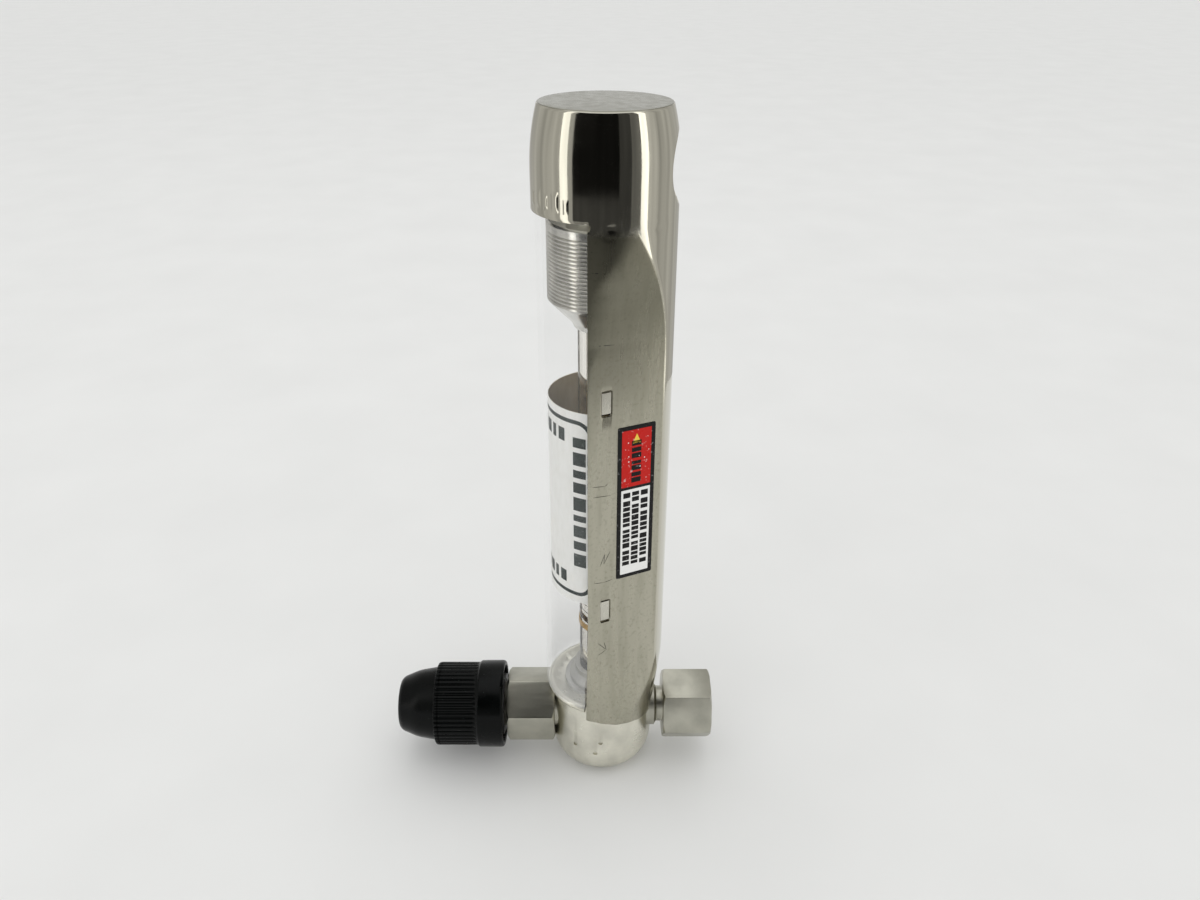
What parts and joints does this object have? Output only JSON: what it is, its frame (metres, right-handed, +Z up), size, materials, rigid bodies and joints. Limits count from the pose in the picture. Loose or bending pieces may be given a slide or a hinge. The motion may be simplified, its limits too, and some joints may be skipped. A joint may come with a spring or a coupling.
{
  "type": "gas flow regulator with needle valve and metering tube",
  "caption": "Purge flow regulator for gas: upright glass metering tube with float in a stainless housing with a clear front, needle valve with ribbed knob at the foot, pipe ports at the back.",
  "frame": {"origin": "centre of the foot of the base block, on the axis of the metering tube", "axes": "+Z up along the metering tube; +Y towards the back, where the inlet and outlet ports open; the knob and the clear front face -Y; +X to the right seen from the front"},
  "size_m": [0.0296, 0.0799, 0.164],
  "materials": {
    "polished_steel": "polished cap, satin scratched sides",
    "satin_steel": "satin, turned",
    "float_steel": "ground",
    "dark_steel": "blackened",
    "plate_steel": "satin",
    "aluminium": "machined",
    "brass": "machined",
    "tube_glass": "clear, faint amber",
    "clear_plastic": "clear, glossy",
    "black_plastic": "moulded, soft sheen",
    "white_ptfe": "matt",
    "seal_rubber": "matt",
    "tag_paper": "uncoated card",
    "label_foil": "printed film"
  },
  "bodies": {
    "frame": {"base_block": "satin_steel", "tube_seat": "aluminium", "lower_gasket": "seal_rubber", "lower_float_stop": "white_ptfe", "metering_tube": "tube_glass", "upper_float_stop": "white_ptfe", "outlet_block": "satin_steel", "neck_o_ring": "seal_rubber", "inlet_fitting": "satin_steel", "valve_body": "satin_steel", "valve_orifice": "satin_steel", "stem_packing": "white_ptfe", "packing_nut": "dark_steel", "housing_shell": "polished_steel", "scale_plate": "plate_steel", "clear_shield": "clear_plastic", "paper_tag": "tag_paper", "rating_label": "label_foil"},
    "float_body": {"float": "float_steel"},
    "gasket_body": {"upper_gasket": "seal_rubber"},
    "plug_body": {"clamp_plug": "aluminium"},
    "needle_body": {"needle_tip": "float_steel"},
    "knob_body": {"valve_stem": "float_steel", "control_knob": "black_plastic", "knob_bush": "brass", "set_screw": "dark_steel", "knob_cap": "black_plastic"}
  },
  "joints": [
    {"name": "float_rise", "type": "slide", "parent": "frame", "child": "float_body", "axis": [0, 0, 1], "range_m": [0, 0.0632]},
    {"name": "gasket_lift", "type": "slide", "parent": "frame", "child": "gasket_body", "axis": [0, 0, 1], "range_m": [0, 0.003]},
    {"name": "plug_turn", "type": "hinge", "parent": "gasket_body", "child": "plug_body", "pos_m": [0, 0, 0.13], "axis": [0, 0, 1], "range_deg": [0, 1350]},
    {"name": "needle_travel", "type": "slide", "parent": "frame", "child": "needle_body", "axis": [0, -1, 0], "range_m": [-0.0012, 0.0028]},
    {"name": "knob_turn", "type": "hinge", "parent": "needle_body", "child": "knob_body", "pos_m": [0, 0, 0.014], "axis": [0, -1, 0], "range_deg": [-540, 1260]}
  ],
  "couplings": [
    {"joint": "gasket_lift", "follows": "plug_turn", "m_per_rad": 0.00012732},
    {"joint": "needle_travel", "follows": "knob_turn", "m_per_rad": 0.00012732}
  ]
}
